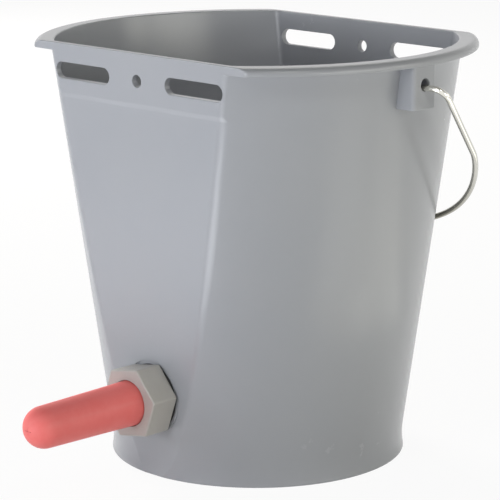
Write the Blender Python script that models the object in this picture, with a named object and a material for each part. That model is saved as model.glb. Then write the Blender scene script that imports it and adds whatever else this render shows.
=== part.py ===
"""Calf feeding bucket: a moulded bucket with two flat sides, a wire bail and a screwed-in teat valve.

Frame: origin at the centre of the foot plane, +Z up, the teat points along -Y and the ears lie on X.
Sizes are in millimetres and become metres where a mesh is made.
"""

import math

import bmesh
import bpy
from mathutils import Matrix, Vector

MM = 0.001

# Gap between two pieces that seat on each other
GAP = 0.3

# Shell: a cone with a leaning flat on the front and one on the back
HEIGHT = 268.0
RIM_RADIUS = 130.0
BASE_RADIUS = 92.4
RIM_FLAT = 104.7
BASE_FLAT_INSET = 0.3
CORNER_RADIUS = 15.0
WALL = 2.5
FLOOR = 3.0
FLOOR_RECESS = 2.0
FLOOR_FILLET = 6.0
FOOT_FLARE_WIDTH = 2.8
FOOT_HEIGHT = 17.0
FOOT_EDGE = 0.7
FOOT_RING = 5.0

# Least roundness that keeps a section a smooth closed outline
LEAST_BULGE = 0.2
LEAST_CORNER = 1.0

# Lip round the two curved sides
LIP_WIDTH = 10.0
LIP_THICKNESS = 3.8
LIP_ROUND = 2.8
LIP_EDGE = 0.7
LIP_CORNER = 6.0
LIP_SETBACK = 0.15

# Hanging band on each flat, with its slots and screw hole
BAND_HEIGHT = 34.5
BAND_PROUD = 0.6
BAND_INWARD = 1.3
BAND_INWARD_STEP = 10.0
BAND_INSIDE_CORNER = 4.0
BAND_OVERRUN = 0.5
BAND_CORNER = 4.0
BAND_TURN = 60.0
BAND_STEP = 3.0
BAND_DEPTH = 20.0
SLOT_LENGTH = 48.6
SLOT_HEIGHT = 10.3
SLOT_END_RADIUS = 5.1
SLOT_SPACING = 97.4
SLOT_DROP = 17.0
SCREW_HOLE_RADIUS = 3.85

# Ears under the lip
EAR_WIDTH = 20.6
EAR_HEIGHT = 31.2
EAR_WALL = 3.0
EAR_SETBACK = 0.7
EAR_CORNER = 2.5
EAR_HOLE_RADIUS = 3.85
EAR_HOLE_DROP = 16.3

# Wire bail
WIRE_RADIUS = 1.8
BAIL_STAND_OUT = 13.4
BAIL_SHOULDER_INSET = 9.5
BAIL_SHOULDER = 60.6
BAIL_REACH = 156.6
BAIL_SHOULDER_PULL = 13.0
BAIL_CROWN_PULL = 99.1
BAIL_BEND = 7.0
HOOK_REACH = 5.2
HOOK_BEND = 2.6

# Teat valve, on a level axis through the front flat
VALVE_HEIGHT = 51.3
BOSS_RADIUS = 23.0
BOSS_THICKNESS = 5.0
SPIGOT_RADIUS = 16.5
OUTER_SEAL_RADIUS = 21.4
OUTER_SEAL_THICKNESS = 1.5
INNER_SEAL_RADIUS = 21.5
INNER_SEAL_THICKNESS = 2.0
FLANGE_RADIUS = 22.0
FLANGE_THICKNESS = 3.0
COLLAR_ACROSS_FLATS = 34.0
COLLAR_THICKNESS = 6.0
NUT_ACROSS_FLATS = 40.6
NUT_THICKNESS = 18.9
NUT_LIP = 3.2
NUT_TURN = 10.0
NUT_EDGE = 0.7
TEAT_FLANGE_THICKNESS = 3.0
TEAT_NECK_RADIUS = 14.7
TEAT_TIP_RADIUS = 12.4
TEAT_LENGTH = 81.2
TEAT_WALL = 4.6
TEAT_SLIT_LENGTH = 6.0
TEAT_SLIT_WIDTH = 0.5
INLET_RADIUS = 5.5
CHAMBER_RADIUS = 11.0
BALL_RADIUS = 8.25
BALL_CLEARANCE = 0.4
BALL_TRAVEL = 4.5
GUIDE_WIDTH = 2.0
GUIDE_COUNT = 4
RETAINER_RADIUS = 13.2
RETAINER_THICKNESS = 2.4
RETAINER_RIM = 3.4
RETAINER_BAR = 2.4

# Facets
SIDE_STEPS = 14
CORNER_STEPS = 4
FOOT_LEVELS = 5
SHELL_LEVELS = 9
ROUND_STEPS = 44
BOSS_STEPS = 47
HOLE_STEPS = 24
BOW_STEPS = 30

# Where things sit, worked out from the sizes above
BASE_FLAT = BASE_RADIUS - BASE_FLAT_INSET
RIM_INSIDE = HEIGHT - LIP_THICKNESS / 2
BAND_LOW = HEIGHT - BAND_HEIGHT
SLOT_Z = HEIGHT - SLOT_DROP
EAR_HOLE_Z = HEIGHT - EAR_HOLE_DROP
HINGE_Z = EAR_HOLE_Z - (EAR_HOLE_RADIUS - WIRE_RADIUS - GAP)
LIP_RADIUS = RIM_RADIUS + LIP_WIDTH
EAR_FACE = LIP_RADIUS - EAR_SETBACK
BAIL_HALF_WIDTH = EAR_FACE + BAIL_STAND_OUT
SHOULDER_HALF_WIDTH = BAIL_HALF_WIDTH - BAIL_SHOULDER_INSET
BORE_RADIUS = SPIGOT_RADIUS + GAP


def foot_flare(z):
    """How far the foot curves out from the leaning wall at a height."""
    return FOOT_FLARE_WIDTH * max(1 - z / FOOT_HEIGHT, 0) ** 2


def cone_radius(z):
    """Outer radius of the curved sides at a height."""
    return BASE_RADIUS + (RIM_RADIUS - BASE_RADIUS) * z / HEIGHT + foot_flare(z)


def flat_distance(z):
    """Distance of the flats from the bucket's axis at a height."""
    return BASE_FLAT + (RIM_FLAT - BASE_FLAT) * z / HEIGHT + foot_flare(z)


BOSS_FACE = flat_distance(VALVE_HEIGHT)
BOSS_BACK = BOSS_FACE - BOSS_THICKNESS
INNER_SEAL_FACE = BOSS_BACK - GAP
FLANGE_FACE = INNER_SEAL_FACE - INNER_SEAL_THICKNESS - GAP
COLLAR_FACE = FLANGE_FACE - FLANGE_THICKNESS
INLET_FACE = COLLAR_FACE - COLLAR_THICKNESS
OUTER_SEAL_BACK = BOSS_FACE + GAP
NUT_BACK = OUTER_SEAL_BACK + OUTER_SEAL_THICKNESS + GAP
NUT_FACE = NUT_BACK + NUT_THICKNESS
TEAT_FLANGE_FACE = NUT_FACE - NUT_LIP - GAP
TEAT_FLANGE_BACK = TEAT_FLANGE_FACE - TEAT_FLANGE_THICKNESS
SPIGOT_END = TEAT_FLANGE_BACK - GAP
RETAINER_FACE = SPIGOT_END
RETAINER_BACK = RETAINER_FACE - RETAINER_THICKNESS
RETAINER_SEAT = RETAINER_BACK - GAP
TEAT_TIP = NUT_FACE + TEAT_LENGTH
BALL_CENTRE = RETAINER_BACK - GAP - BALL_TRAVEL - BALL_RADIUS
SEAT_APEX = BALL_CENTRE - (BALL_RADIUS + GAP) * math.sqrt(2)


def clear_scene():
    for item in list(bpy.data.objects):
        bpy.data.objects.remove(item, do_unlink=True)


def material(name, colour, roughness, metallic=0.0):
    made = bpy.data.materials.new(name)
    made.use_nodes = True
    shader = made.node_tree.nodes["Principled BSDF"]
    shader.inputs["Base Color"].default_value = (*colour, 1.0)
    shader.inputs["Roughness"].default_value = roughness
    shader.inputs["Metallic"].default_value = metallic
    made.diffuse_color = (*colour, 1.0)
    return made


def place(name, bm, finish=None, location=(0, 0, 0), smooth_angle=35):
    """Turns a bmesh in millimetres into an object whose origin is at location."""
    bmesh.ops.remove_doubles(bm, verts=bm.verts, dist=1e-4)
    bmesh.ops.recalc_face_normals(bm, faces=bm.faces)
    bmesh.ops.translate(bm, verts=bm.verts, vec=-Vector(location))
    bmesh.ops.scale(bm, verts=bm.verts, vec=(MM, MM, MM))
    mesh = bpy.data.meshes.new(name)
    bm.to_mesh(mesh)
    bm.free()
    if finish:
        mesh.materials.append(finish)
    mesh.shade_smooth()
    mesh.set_sharp_from_angle(angle=math.radians(smooth_angle))
    made = bpy.data.objects.new(name, mesh)
    made.location = Vector(location) * MM
    bpy.context.scene.collection.objects.link(made)
    return made


def combine(target, tool, operation):
    """Joins tool to target, or cuts it out, and leaves tool as a hidden helper."""
    tool.hide_render = True
    tool.display_type = "WIRE"
    change = target.modifiers.new(f"{operation.lower()} {tool.name}", "BOOLEAN")
    change.operation = operation
    change.solver = "EXACT"
    change.object = tool


def turned(profile, steps=ROUND_STEPS, axis="Z"):
    """Spins a closed profile of (radius, height) points about an axis through the origin."""
    bm = bmesh.new()
    points = [bm.verts.new((radius, 0, height)) for radius, height in profile]
    edges = [bm.edges.new((a, b)) for a, b in zip(points, points[1:] + points[:1])]
    bmesh.ops.spin(
        bm, geom=points + edges, cent=(0, 0, 0), axis=(0, 0, 1), angle=math.tau, steps=steps, use_merge=True
    )
    bmesh.ops.remove_doubles(bm, verts=bm.verts, dist=1e-4)
    loose = [edge for edge in bm.edges if not edge.link_faces]
    bmesh.ops.delete(bm, geom=loose, context="EDGES")
    if axis == "valve":
        on_valve_axis(bm)
    return bm


def on_valve_axis(bm):
    """Lays a shape made on +Z along the valve axis, so that its height becomes the distance out to the front."""
    lay = Matrix.Translation((0, 0, VALVE_HEIGHT)) @ Matrix.Rotation(math.pi / 2, 4, "X")
    bmesh.ops.transform(bm, matrix=lay, verts=bm.verts)


def prism(outline, low, high):
    """Extrudes an outline of (x, y) points from low to high along Z."""
    bm = bmesh.new()
    face = bm.faces.new([bm.verts.new((x, y, low)) for x, y in outline])
    top = bmesh.ops.extrude_face_region(bm, geom=[face])["geom"]
    moved = [item for item in top if isinstance(item, bmesh.types.BMVert)]
    bmesh.ops.translate(bm, verts=moved, vec=(0, 0, high - low))
    return bm


def facing(bm, side):
    """Turns a prism so that its Z runs along -Y or +Y and its Y runs up."""
    stand = Matrix.Rotation(math.pi / 2, 4, "X")
    if side > 0:
        stand = Matrix.Scale(-1, 4, (0, 1, 0)) @ stand
    bmesh.ops.transform(bm, matrix=stand, verts=bm.verts)
    return bm


def rounded_box(half_width, low, high, corner, steps=6):
    """Outline with rounded corners, centred on x = 0 and reaching from y = low to y = high."""
    points = []
    for centre_x, centre_y, start in (
        (half_width - corner, high - corner, 0.0),
        (corner - half_width, high - corner, 0.5),
        (corner - half_width, low + corner, 1.0),
        (half_width - corner, low + corner, 1.5),
    ):
        for step in range(steps + 1):
            angle = math.pi * (start + 0.5 * step / steps)
            points.append((centre_x + corner * math.cos(angle), centre_y + corner * math.sin(angle)))
    return points


def circle(radius, steps=HOLE_STEPS, centre=(0, 0)):
    turns = [math.tau * step / steps for step in range(steps)]
    return [(centre[0] + radius * math.cos(a), centre[1] + radius * math.sin(a)) for a in turns]


def hexagon(across_flats, turn):
    radius = across_flats / math.sqrt(3)
    turns = [math.radians(turn + 60 * step) for step in range(6)]
    return [(radius * math.cos(a), radius * math.sin(a)) for a in turns]


def corner_of(radius, flat, corner):
    """Centre of a rounded corner between a flat and a curved side, and the angle where the side ends."""
    inset = flat - corner
    centre_x = math.sqrt(max((radius - corner) ** 2 - inset**2, LEAST_CORNER))
    return centre_x, inset, math.atan2(inset, centre_x)


def flatted(radius, flat, corner):
    """Circle with a flat on two sides and rounded corners between them, as a closed outline."""
    centre_x, inset, turn = corner_of(radius, flat, corner)
    quarter = []
    for step in range(SIDE_STEPS + 1):
        angle = turn * step / SIDE_STEPS
        quarter.append((radius * math.cos(angle), radius * math.sin(angle)))
    for step in range(1, CORNER_STEPS + 1):
        angle = turn + (math.pi / 2 - turn) * step / CORNER_STEPS
        quarter.append((centre_x + corner * math.cos(angle), inset + corner * math.sin(angle)))
    half = quarter + [(-x, y) for x, y in reversed(quarter)]
    return half + [(x, -y) for x, y in reversed(half[1:-1])]


def section(z, shrink=0.0, proud=0.0, corner=CORNER_RADIUS):
    """Closed horizontal outline of the shell at a height, drawn in by shrink all round."""
    radius = cone_radius(z) - shrink
    flat = min(flat_distance(z) + proud - shrink, radius - LEAST_BULGE)
    return flatted(radius, flat, max(corner - shrink, LEAST_CORNER))


def loft(levels):
    """Skins a stack of (z, outline) levels and closes both ends."""
    bm = bmesh.new()
    rings = [[bm.verts.new((x, y, z)) for x, y in outline] for z, outline in levels]
    for low, high in zip(rings, rings[1:]):
        for index in range(len(low)):
            nearby = (index + 1) % len(low)
            bm.faces.new((low[index], low[nearby], high[nearby], high[index]))
    bm.faces.new(rings[0])
    bm.faces.new(rings[-1])
    return bm


def shell_blank():
    """Solid body of the bucket from the foot plane up into the lip."""
    levels = [(0, section(0, FOOT_EDGE))]
    for step in range(FOOT_LEVELS):
        z = FOOT_EDGE + (FOOT_HEIGHT - FOOT_EDGE) * step / FOOT_LEVELS
        levels.append((z, section(z)))
    for step in range(SHELL_LEVELS + 1):
        z = FOOT_HEIGHT + (RIM_INSIDE - FOOT_HEIGHT) * step / SHELL_LEVELS
        levels.append((z, section(z)))
    return loft(levels)


def band(side):
    """Hanging band on a flat, whose ends turn into the curved sides, with a soft lower edge."""
    levels = []
    for z, proud in ((BAND_LOW, -BAND_PROUD), (BAND_LOW + BAND_STEP, BAND_PROUD), (RIM_INSIDE, BAND_PROUD)):
        face = flat_distance(z) + proud
        flat_end = math.sqrt(max(cone_radius(z) ** 2 - face**2, LEAST_CORNER)) + BAND_OVERRUN
        turns = [math.radians(BAND_TURN) * step / CORNER_STEPS for step in range(CORNER_STEPS + 1)]
        quarter = [
            (flat_end + BAND_CORNER * math.sin(turn), face - BAND_CORNER * (1 - math.cos(turn))) for turn in turns
        ]
        end_x, end_y = quarter[-1]
        quarter.append((end_x + (end_y - face + BAND_DEPTH) / math.tan(turns[-1]), face - BAND_DEPTH))
        outline = quarter + [(-x, y) for x, y in reversed(quarter)]
        levels.append((z, [(x, side * y) for x, y in outline]))
    return loft(levels)


def cavity():
    """Inside of the bucket, with a filleted floor corner and tighter corners behind the bands."""
    bottom = FLOOR_RECESS + FLOOR
    levels = []
    for step in range(5):
        angle = math.pi / 2 * step / 4
        z = bottom + FLOOR_FILLET * (1 - math.cos(angle))
        levels.append((z, section(z, WALL + FLOOR_FILLET * (1 - math.sin(angle)))))
    start = bottom + FLOOR_FILLET
    for step in range(1, SHELL_LEVELS + 1):
        z = start + (BAND_LOW - BAND_INWARD_STEP - start) * step / SHELL_LEVELS
        levels.append((z, section(z, WALL)))
    for z in (BAND_LOW, HEIGHT + WALL):
        levels.append((z, section(z, WALL, -BAND_INWARD, BAND_INSIDE_CORNER + WALL)))
    return loft(levels)


def lip():
    """Flat lip with a rounded outer edge, ended flush with the bands and with rounded tips."""
    levels = []
    low = HEIGHT - LIP_THICKNESS
    for start, edge, centre_z in ((-1, LIP_EDGE, low + LIP_EDGE), (0, LIP_ROUND, HEIGHT - LIP_ROUND)):
        for step in range(4):
            angle = math.pi / 2 * (start + step / 3)
            z = centre_z + edge * math.sin(angle)
            inset = edge * (1 - math.cos(angle))
            face = flat_distance(z) + BAND_PROUD - LIP_SETBACK
            levels.append((z, flatted(LIP_RADIUS - inset, face, LIP_CORNER - inset)))
    return loft(levels)


def box(low, high):
    bm = bmesh.new()
    bmesh.ops.create_cube(bm, size=1.0)
    size = Vector(high) - Vector(low)
    bmesh.ops.scale(bm, verts=bm.verts, vec=size)
    bmesh.ops.translate(bm, verts=bm.verts, vec=(Vector(high) + Vector(low)) / 2)
    return bm


def ear(side):
    """Block that hangs from the lip, before its pocket is cut."""
    inner = cone_radius(HEIGHT - EAR_HEIGHT) - 2 * WALL
    bm = box((inner, -EAR_WIDTH / 2, HEIGHT - EAR_HEIGHT), (EAR_FACE, EAR_WIDTH / 2, RIM_INSIDE))
    outer = [
        edge
        for edge in bm.edges
        if all(v.co.x > inner + WALL for v in edge.verts) and min(v.co.z for v in edge.verts) < EAR_HOLE_Z
    ]
    bmesh.ops.bevel(bm, geom=outer, offset=EAR_CORNER, segments=3, profile=0.5, affect="EDGES", material=-1)
    mirror_x(bm, side)
    return bm


def ear_pocket(side):
    """Room behind the ear's outer plate, open at the bottom, where the bail's hook turns."""
    inner = cone_radius(HEIGHT - EAR_HEIGHT) - 4 * WALL
    low = HEIGHT - EAR_HEIGHT - EAR_WALL
    high = HEIGHT - LIP_THICKNESS - EAR_WALL / 2
    half = EAR_WIDTH / 2 - EAR_WALL
    bm = box((inner, -half, low), (EAR_FACE - EAR_WALL, half, high))
    mirror_x(bm, side)
    return bm


def ear_hole(side):
    bm = prism(circle(EAR_HOLE_RADIUS), EAR_FACE - 2 * EAR_WALL, LIP_RADIUS + EAR_WALL)
    turn = Matrix.Translation((0, 0, EAR_HOLE_Z)) @ Matrix.Rotation(math.pi / 2, 4, "Y")
    bmesh.ops.transform(bm, matrix=turn, verts=bm.verts)
    mirror_x(bm, side)
    return bm


def mirror_x(bm, side):
    if side < 0:
        bmesh.ops.transform(bm, matrix=Matrix.Scale(-1, 4, (1, 0, 0)), verts=bm.verts)


def bucket_body(finish):
    """One moulding: shell, foot, lip, hanging bands, ears and the boss for the valve."""
    body = place("bucket_body", shell_blank(), finish)
    combine(body, place("lip", lip()), "UNION")
    for side, word in ((-1, "front"), (1, "back")):
        combine(body, place(f"{word}_band", band(side)), "UNION")
    for side, word in ((-1, "left"), (1, "right")):
        block = place(f"{word}_ear_block", ear(side))
        combine(block, place(f"{word}_ear_pocket", ear_pocket(side)), "DIFFERENCE")
        combine(block, place(f"{word}_ear_hole", ear_hole(side)), "DIFFERENCE")
        combine(body, block, "UNION")
    combine(body, place("cavity", cavity()), "DIFFERENCE")
    inside = cone_radius(0) - FOOT_RING
    recess = turned([(0, -WALL), (inside, -WALL), (inside, FLOOR_RECESS), (0, FLOOR_RECESS)])
    combine(body, place("floor_recess", recess), "DIFFERENCE")
    stock = BOSS_FACE + GAP
    boss = turned([(0, BOSS_BACK), (BOSS_RADIUS, BOSS_BACK), (BOSS_RADIUS, stock), (0, stock)], BOSS_STEPS, "valve")
    combine(body, place("valve_boss", boss), "UNION")
    seat = [
        (0, INLET_FACE),
        (BORE_RADIUS, INLET_FACE),
        (BORE_RADIUS, BOSS_FACE),
        (BOSS_RADIUS + GAP, BOSS_FACE),
        (BOSS_RADIUS + GAP, LIP_RADIUS),
        (0, LIP_RADIUS),
    ]
    combine(body, place("valve_bore", turned(seat, axis="valve")), "DIFFERENCE")
    for side, word in ((-1, "front"), (1, "back")):
        near = flat_distance(SLOT_Z) - 4 * WALL
        for shift, slot in ((-SLOT_SPACING / 2, "left"), (SLOT_SPACING / 2, "right")):
            outline = rounded_box(SLOT_LENGTH / 2, -SLOT_HEIGHT / 2, SLOT_HEIGHT / 2, SLOT_END_RADIUS)
            cutter = prism([(x + shift, y + SLOT_Z) for x, y in outline], near, LIP_RADIUS)
            combine(body, place(f"{word}_{slot}_slot", facing(cutter, side)), "DIFFERENCE")
        hole = facing(prism(circle(SCREW_HOLE_RADIUS, centre=(0, SLOT_Z)), near, LIP_RADIUS), side)
        combine(body, place(f"{word}_screw_hole", hole), "DIFFERENCE")
    return body


def arc(centre, start, across, angle, steps):
    """Points of an arc that starts at centre + start and turns towards across."""
    turns = [angle * step / steps for step in range(steps + 1)]
    return [centre + start * math.cos(a) + across * math.sin(a) for a in turns]


def bail_half():
    """Centre line of half the bail, from the hook's end to the middle, as (out, along) from the hinge."""
    hook_x = (EAR_FACE - EAR_WALL + cone_radius(HINGE_Z)) / 2
    out = Vector((1, 0))
    along = Vector((0, 1))
    corner = Vector((hook_x + HOOK_BEND, -HOOK_BEND))
    points = [Vector((hook_x, -HOOK_REACH))]
    points += arc(corner, -out * HOOK_BEND, along * HOOK_BEND, math.pi / 2, 4)
    bend = Vector((BAIL_HALF_WIDTH - BAIL_BEND, BAIL_BEND))
    shoulder = Vector((SHOULDER_HALF_WIDTH, BAIL_SHOULDER))
    crown = Vector((0, BAIL_REACH))
    leg = shoulder - bend - out * BAIL_BEND
    points += arc(bend, -along * BAIL_BEND, out * BAIL_BEND, out.angle(along) + along.angle(leg), 6)
    shoulder_pull = shoulder + leg.normalized() * BAIL_SHOULDER_PULL
    crown_pull = crown + out * BAIL_CROWN_PULL
    for step in range(BOW_STEPS + 1):
        t = step / BOW_STEPS
        near = shoulder * (1 - t) ** 3 + shoulder_pull * 3 * t * (1 - t) ** 2
        points.append(near + crown_pull * 3 * t * t * (1 - t) + crown * t**3)
    return points


def shell_gap(x, y, z):
    """Distance from a point to the outside of the shell in its own level, negative inside."""
    radius = cone_radius(z)
    flat = min(flat_distance(z), radius)
    centre_x, inset, turn = corner_of(radius, flat, CORNER_RADIUS)
    x, y = abs(x), abs(y)
    if x <= centre_x:
        return y - flat
    if math.atan2(y - inset, x - centre_x) >= turn:
        return math.hypot(x - centre_x, y - inset) - CORNER_RADIUS
    return math.hypot(x, y) - radius


def lean_angle():
    """Angle from straight down at which the bail, let go, rests against the back of the shell."""
    reach = [point for point in bail_half() if point.y > BAIL_BEND]
    slope = math.atan2(RIM_RADIUS - BASE_RADIUS, HEIGHT)
    wanted = (WIRE_RADIUS + GAP) / math.cos(slope)
    low, high = 0.0, math.pi / 2
    for _ in range(40):
        angle = (low + high) / 2
        gaps = [shell_gap(p.x, p.y * math.sin(angle), HINGE_Z - p.y * math.cos(angle)) for p in reach]
        if min(gaps) < wanted:
            low = angle
        else:
            high = angle
    return high


def bail(finish):
    """Bent wire, with its origin in the middle of the hinge line."""
    half = bail_half()
    line = half + [Vector((-point.x, point.y)) for point in reversed(half[:-1])]
    angle = lean_angle()
    curve = bpy.data.curves.new("bail", "CURVE")
    curve.dimensions = "3D"
    curve.bevel_depth = WIRE_RADIUS * MM
    curve.bevel_resolution = 3
    curve.use_fill_caps = True
    spline = curve.splines.new("POLY")
    spline.points.add(len(line) - 1)
    for point, place_at in zip(spline.points, line):
        point.co = (
            place_at.x * MM,
            place_at.y * math.sin(angle) * MM,
            -place_at.y * math.cos(angle) * MM,
            1.0,
        )
    curve.materials.append(finish)
    made = bpy.data.objects.new("bail", curve)
    made.location = (0, 0, HINGE_Z * MM)
    bpy.context.scene.collection.objects.link(made)


def washer(inner, outer, low, high):
    return turned([(inner, low), (outer, low), (outer, high), (inner, high)], axis="valve")


def seals(finish):
    outer = washer(BORE_RADIUS, OUTER_SEAL_RADIUS, OUTER_SEAL_BACK, OUTER_SEAL_BACK + OUTER_SEAL_THICKNESS)
    place("outer_seal", outer, finish)
    inner = washer(BORE_RADIUS, INNER_SEAL_RADIUS, INNER_SEAL_FACE - INNER_SEAL_THICKNESS, INNER_SEAL_FACE)
    place("inner_seal", inner, finish)


def union_nut(finish):
    """Hexagon nut that clamps the teat's flange on the spigot."""
    bm = prism(hexagon(NUT_ACROSS_FLATS, NUT_TURN), NUT_BACK, NUT_FACE)
    bmesh.ops.bevel(bm, geom=bm.edges[:], offset=NUT_EDGE, segments=2, profile=0.5, affect="EDGES", material=-1)
    on_valve_axis(bm)
    nut = place("union_nut", bm, finish)
    shoulder = NUT_FACE - NUT_LIP
    mouth = TEAT_NECK_RADIUS + GAP
    profile = [
        (0, NUT_BACK - WALL),
        (BORE_RADIUS, NUT_BACK - WALL),
        (BORE_RADIUS, shoulder),
        (mouth, shoulder),
        (mouth, NUT_FACE + WALL),
        (0, NUT_FACE + WALL),
    ]
    combine(nut, place("nut_bore", turned(profile, axis="valve")), "DIFFERENCE")


def teat(finish):
    """Hollow rubber teat with a clamped flange and a cross slit in its tip."""
    tip_start = TEAT_TIP - TEAT_TIP_RADIUS
    inner_tip = TEAT_TIP_RADIUS - TEAT_WALL
    profile = [
        (TEAT_NECK_RADIUS - TEAT_WALL, TEAT_FLANGE_BACK),
        (SPIGOT_RADIUS, TEAT_FLANGE_BACK),
        (SPIGOT_RADIUS, TEAT_FLANGE_FACE),
        (TEAT_NECK_RADIUS, TEAT_FLANGE_FACE),
    ]
    for step in range(8):
        angle = math.pi / 2 * step / 7
        profile.append((TEAT_TIP_RADIUS * math.cos(angle), tip_start + TEAT_TIP_RADIUS * math.sin(angle)))
    for step in range(5, -1, -1):
        angle = math.pi / 2 * step / 5
        profile.append((inner_tip * math.cos(angle), tip_start + inner_tip * math.sin(angle)))
    body = place("teat", turned(profile, 36, axis="valve"), finish)
    half_length = TEAT_SLIT_LENGTH / 2
    half_width = TEAT_SLIT_WIDTH / 2
    arms = [(half_length, half_width), (half_width, half_width)]
    quarter = arms + [(half_width, half_length)]
    outline = []
    for turn in range(4):
        for x, y in quarter:
            for _ in range(turn):
                x, y = -y, x
            outline.append((x, y))
    slit = prism(outline, tip_start, TEAT_TIP + WALL)
    on_valve_axis(slit)
    combine(body, place("teat_slit", slit), "DIFFERENCE")


def valve_body(finish):
    """Threaded spigot with a flange inside the bucket, a ball seat and four guides for the ball."""
    seat_start = SEAT_APEX + INLET_RADIUS
    seat_end = SEAT_APEX + CHAMBER_RADIUS
    profile = [
        (INLET_RADIUS, COLLAR_FACE - GAP),
        (FLANGE_RADIUS, COLLAR_FACE - GAP),
        (FLANGE_RADIUS, FLANGE_FACE),
        (SPIGOT_RADIUS, FLANGE_FACE),
        (SPIGOT_RADIUS, SPIGOT_END),
        (RETAINER_RADIUS + GAP, SPIGOT_END),
        (RETAINER_RADIUS + GAP, RETAINER_SEAT),
        (CHAMBER_RADIUS, RETAINER_SEAT),
        (CHAMBER_RADIUS, seat_end),
        (INLET_RADIUS, seat_start),
    ]
    body = place("valve_body", turned(profile, axis="valve"), finish)
    collar = prism(hexagon(COLLAR_ACROSS_FLATS, NUT_TURN), INLET_FACE, COLLAR_FACE)
    on_valve_axis(collar)
    block = place("valve_collar", collar)
    inlet = turned(
        [
            (0, INLET_FACE - WALL),
            (2 * INLET_RADIUS, INLET_FACE - WALL),
            (INLET_RADIUS, INLET_FACE + INLET_RADIUS / 2),
            (INLET_RADIUS, COLLAR_FACE + WALL),
            (0, COLLAR_FACE + WALL),
        ],
        HOLE_STEPS,
        axis="valve",
    )
    combine(block, place("valve_inlet", inlet), "DIFFERENCE")
    combine(body, block, "UNION")
    inner = BALL_RADIUS + BALL_CLEARANCE
    outer = (CHAMBER_RADIUS + SPIGOT_RADIUS) / 2
    for step in range(GUIDE_COUNT):
        guide = box((inner, -GUIDE_WIDTH / 2, SEAT_APEX + BALL_RADIUS), (outer, GUIDE_WIDTH / 2, RETAINER_SEAT - GAP))
        turn = Matrix.Rotation(math.tau * (step + 0.5) / GUIDE_COUNT, 4, "Z")
        bmesh.ops.transform(guide, matrix=turn, verts=guide.verts)
        on_valve_axis(guide)
        combine(body, place(f"ball_guide_{step + 1}", guide), "UNION")


def valve_ball(finish):
    """Ball with its origin at its centre, on the seat."""
    bm = bmesh.new()
    bmesh.ops.create_uvsphere(bm, u_segments=24, v_segments=14, radius=BALL_RADIUS)
    centre = Vector((0, -BALL_CENTRE, VALVE_HEIGHT))
    bmesh.ops.translate(bm, verts=bm.verts, vec=centre)
    place("valve_ball", bm, finish, location=centre)


def ball_retainer(finish):
    """Ring with a cross, held in the spigot's end by the teat's flange."""
    rim = RETAINER_RADIUS - RETAINER_RIM
    ring = place("ball_retainer", washer(rim, RETAINER_RADIUS, RETAINER_BACK, RETAINER_FACE), finish)
    for step in range(2):
        half = rim + RETAINER_RIM / 2
        bar = box(
            (-half, -RETAINER_BAR / 2, RETAINER_BACK + GAP), (half, RETAINER_BAR / 2, RETAINER_FACE - GAP)
        )
        bmesh.ops.transform(bar, matrix=Matrix.Rotation(math.pi / 2 * step, 4, "Z"), verts=bar.verts)
        on_valve_axis(bar)
        combine(ring, place(f"retainer_bar_{step + 1}", bar), "UNION")


def build():
    clear_scene()
    grey = material("bucket_grey", (0.36, 0.37, 0.40), 0.45)
    stone = material("fitting_grey", (0.45, 0.44, 0.42), 0.5)
    red = material("teat_red", (0.75, 0.12, 0.12), 0.55)
    black = material("seal_black", (0.02, 0.02, 0.02), 0.7)
    white = material("ball_white", (0.85, 0.85, 0.82), 0.3)
    steel = material("bright_steel", (0.80, 0.80, 0.78), 0.15, 1.0)
    bucket_body(grey)
    bail(steel)
    seals(black)
    union_nut(stone)
    teat(red)
    valve_body(stone)
    valve_ball(white)
    ball_retainer(stone)


build()
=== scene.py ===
"""Looks of the calf feeding bucket: moulded shell, wire bail, rubber teat and the screwed ball valve.

The shell is a stack of closed outlines skinned level by level. Its ears and valve seat are joined to it, and its
slots and holes are cut out of it. Sizes are in millimetres and become metres where a mesh is finished.
"""

import math

import bmesh
import bpy
from mathutils import Matrix, Vector


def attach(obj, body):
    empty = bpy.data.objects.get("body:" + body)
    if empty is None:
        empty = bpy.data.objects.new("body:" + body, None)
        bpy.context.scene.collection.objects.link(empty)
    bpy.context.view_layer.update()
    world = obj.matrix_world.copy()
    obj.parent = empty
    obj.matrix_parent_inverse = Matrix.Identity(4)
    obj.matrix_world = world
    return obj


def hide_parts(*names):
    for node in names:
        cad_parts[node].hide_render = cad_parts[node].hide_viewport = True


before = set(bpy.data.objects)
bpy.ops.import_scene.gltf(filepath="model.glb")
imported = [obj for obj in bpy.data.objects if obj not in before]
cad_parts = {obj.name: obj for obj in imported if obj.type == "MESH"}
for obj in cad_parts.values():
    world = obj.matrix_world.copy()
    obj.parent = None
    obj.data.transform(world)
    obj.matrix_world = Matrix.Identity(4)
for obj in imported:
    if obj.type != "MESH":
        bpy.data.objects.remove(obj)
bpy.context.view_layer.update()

MM = 0.001

# Shell; the lip, the bands, the nut, the outer seal, the teat and the wire are a little finer than their solids
HEIGHT = 268.0
RIM_RADIUS = 130.0
BASE_RADIUS = 92.4
RIM_FLAT = 104.7
BASE_FLAT = 92.1
CORNER_RADIUS = 15.0
WALL = 2.5
FLOOR_TOP = 5.0
FLOOR_FILLET = 6.0
FLOOR_RECESS = 2.0
FLOOR_RING = 60.0
CENTRE_RING = 4.0
FOOT_FLARE = 2.8
FOOT_HEIGHT = 17.0
FOOT_EDGE = 1.0
FOOT_BREAK = 0.3
RECESS_RADIUS = 90.2
RECESS_EASE = 0.6
RIM_ROUND = 0.8
RIM_EDGE = 0.8

# Least roundness that keeps an outline smooth and closed
LEAST_BULGE = 0.2
LEAST_CORNER = 1.0

# Lip, whose outer edge is rolled down from the crest
LIP_RADIUS = 140.0
LIP_THICKNESS = 5.1
LIP_ROLL_REACH = 4.6
LIP_ROLL_DROP = 3.7
LIP_FOOT = 0.45
LIP_FILLET = 1.3
LIP_CORNER = 6.0

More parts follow.
